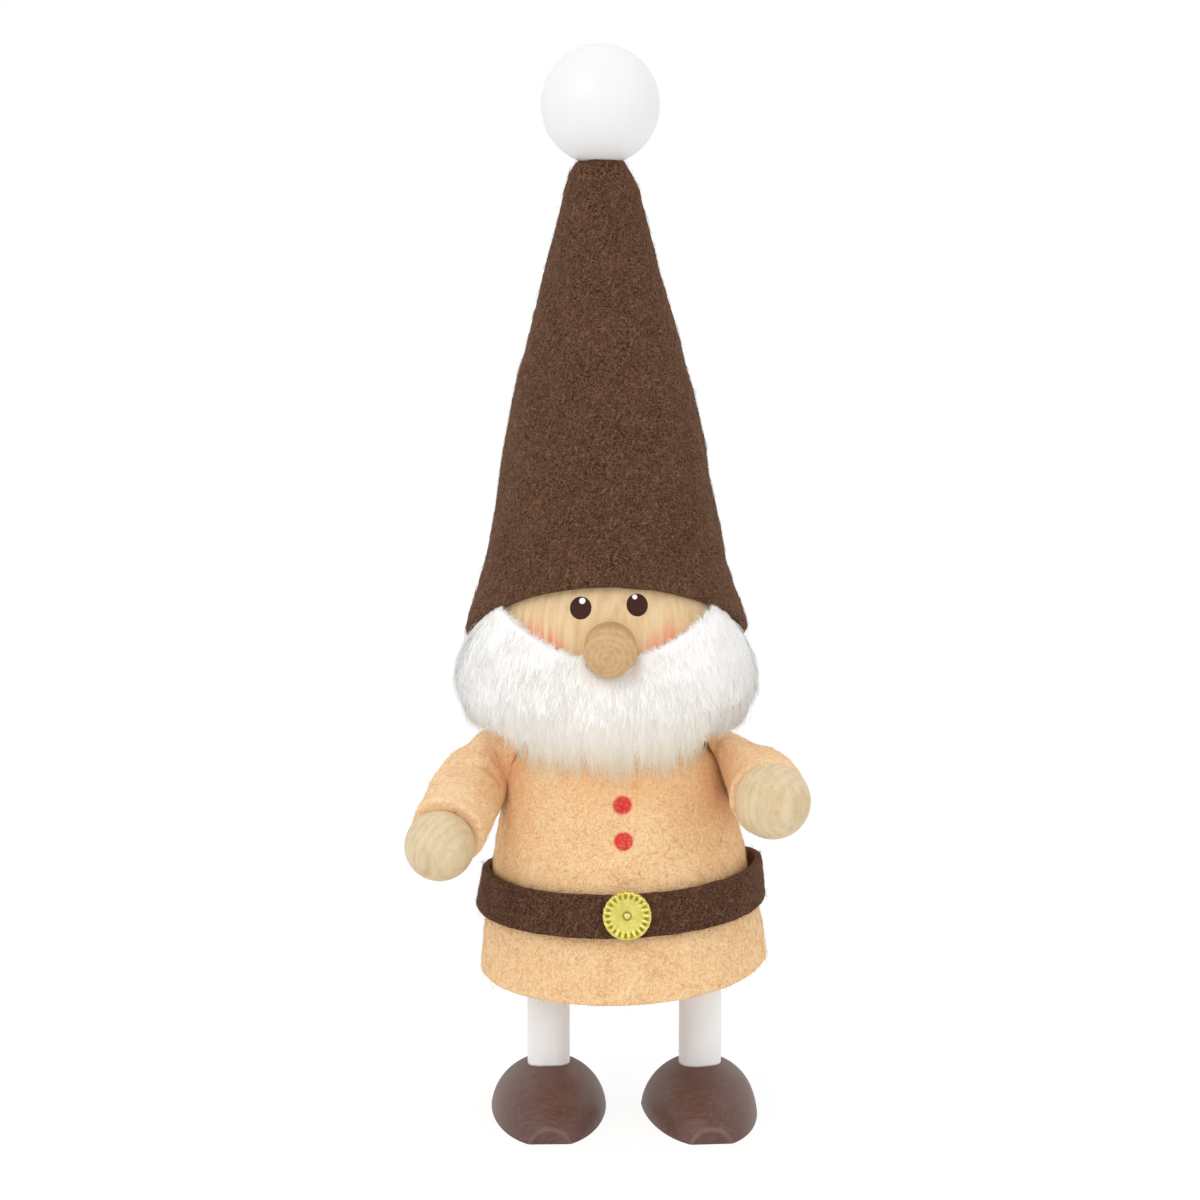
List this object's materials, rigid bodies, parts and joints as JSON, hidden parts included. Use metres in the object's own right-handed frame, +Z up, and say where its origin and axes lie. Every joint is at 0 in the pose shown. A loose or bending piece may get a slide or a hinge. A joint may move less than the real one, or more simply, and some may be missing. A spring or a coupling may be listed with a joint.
{
  "type": "wooden gnome doll",
  "caption": "Standing wooden gnome doll with a felt coat, belt and tall pointed felt hat, a fur beard, a head that turns and arms that swing at the shoulder.",
  "frame": {"origin": "middle of the part's outer box, on the floor that the shoes stand on", "axes": "+Z up, the doll faces -Y, so its right hand is on the -X side"},
  "size_m": [0.0542, 0.0448, 0.1486],
  "materials": {
    "beech_wood": "sanded bare beech",
    "white_paint": "satin white paint on wood",
    "brown_stain": "satin dark brown stain, grain showing",
    "peach_felt": "pressed wool felt",
    "brown_felt": "pressed wool felt",
    "white_fur": "soft long-haired fur",
    "brass": "bright stamped brass"
  },
  "bodies": {
    "body": {"body_core": "beech_wood", "coat": "peach_felt", "belt": "brown_felt", "buckle": "brass", "buckle_pin": "brass", "neck_dowel": "beech_wood", "right_leg": "white_paint", "left_leg": "white_paint", "right_shoe": "brown_stain", "left_shoe": "brown_stain"},
    "head": {"head": "beech_wood", "nose": "beech_wood", "hat": "brown_felt", "hat_ball": "white_paint", "hat_ball_peg": "beech_wood", "beard": "white_fur"},
    "right_arm": {"right_shoulder_peg": "beech_wood", "right_hand": "beech_wood", "right_sleeve": "peach_felt"},
    "left_arm": {"left_shoulder_peg": "beech_wood", "left_hand": "beech_wood", "left_sleeve": "peach_felt"}
  },
  "joints": [
    {"name": "head_turn", "type": "hinge", "parent": "body", "child": "head", "pos_m": [-0.0001, 0.00168, 0.0546], "axis": [0, 0, 1], "range_deg": [-30, 30]},
    {"name": "right_arm_swing", "type": "hinge", "parent": "body", "child": "right_arm", "pos_m": [-0.0175, 0.00168, 0.0494], "axis": [-1, 0, 0], "range_deg": [-30, 25]},
    {"name": "left_arm_swing", "type": "hinge", "parent": "body", "child": "left_arm", "pos_m": [0.0217, 0.00168, 0.0494], "axis": [-1, 0, 0], "range_deg": [-30, 20]}
  ]
}
